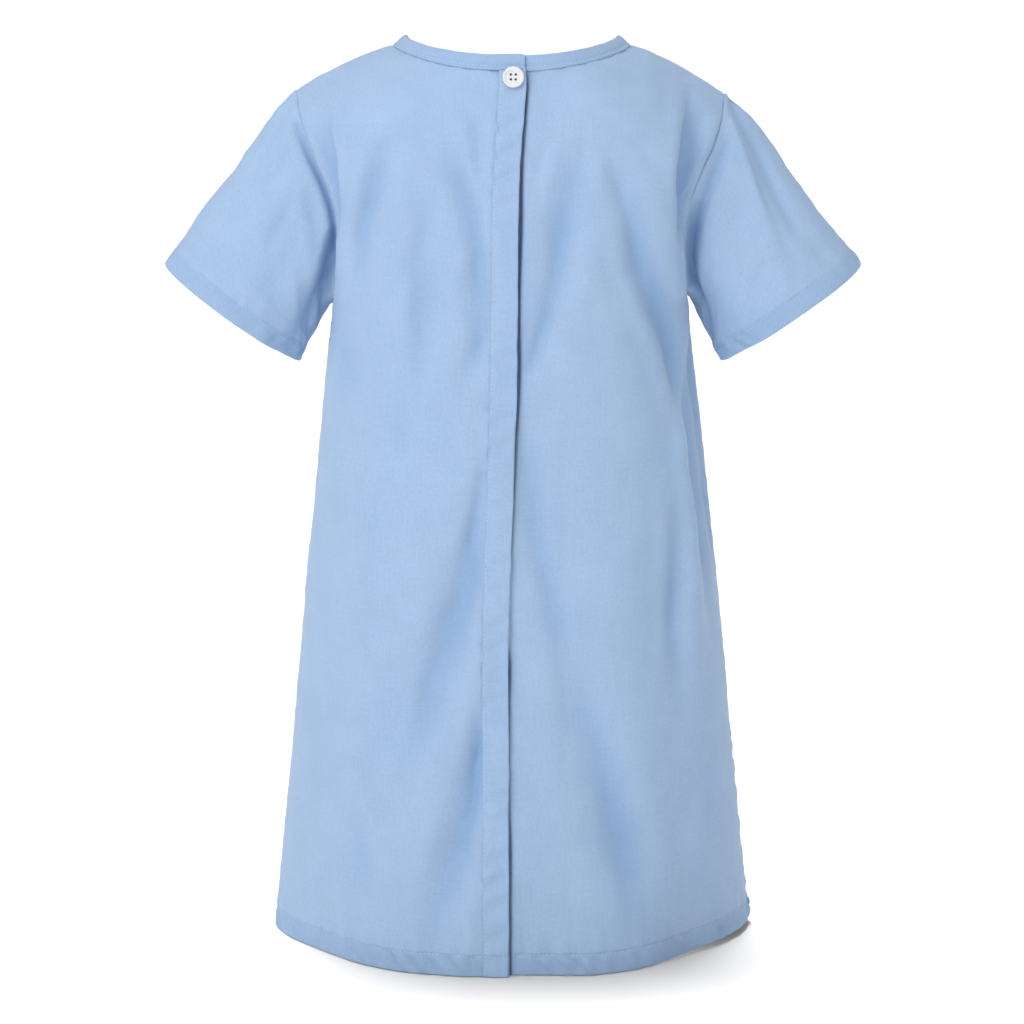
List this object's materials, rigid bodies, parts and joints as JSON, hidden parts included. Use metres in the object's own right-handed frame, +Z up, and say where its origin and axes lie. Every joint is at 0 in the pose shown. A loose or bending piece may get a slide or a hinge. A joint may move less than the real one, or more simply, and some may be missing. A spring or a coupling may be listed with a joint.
{
  "type": "hospital gown",
  "caption": "Child's short-sleeved hospital gown, open down the back under a lapped placket, with a narrow neck band and a button, filled out as when worn.",
  "frame": {"origin": "middle of the neck opening, level with the neck ends of the shoulder seams, where the wearer's shoulders hold the gown up", "axes": "+Z up, -Y out of the back of the gown, where the placket and button are, +Y out of the front, +X the wearer's right"},
  "size_m": [0.446, 0.2148, 0.5868],
  "materials": {
    "blue_cloth": "light blue plain-woven cotton, matt with a faint sheen",
    "white_button": "white, satin"
  },
  "bodies": {
    "root": {"front": "blue_cloth", "back_left": "blue_cloth", "back_right": "blue_cloth", "placket": "blue_cloth", "sleeve_left": "blue_cloth", "sleeve_right": "blue_cloth", "neck_band": "blue_cloth", "button": "white_button"}
  },
  "joints": []
}
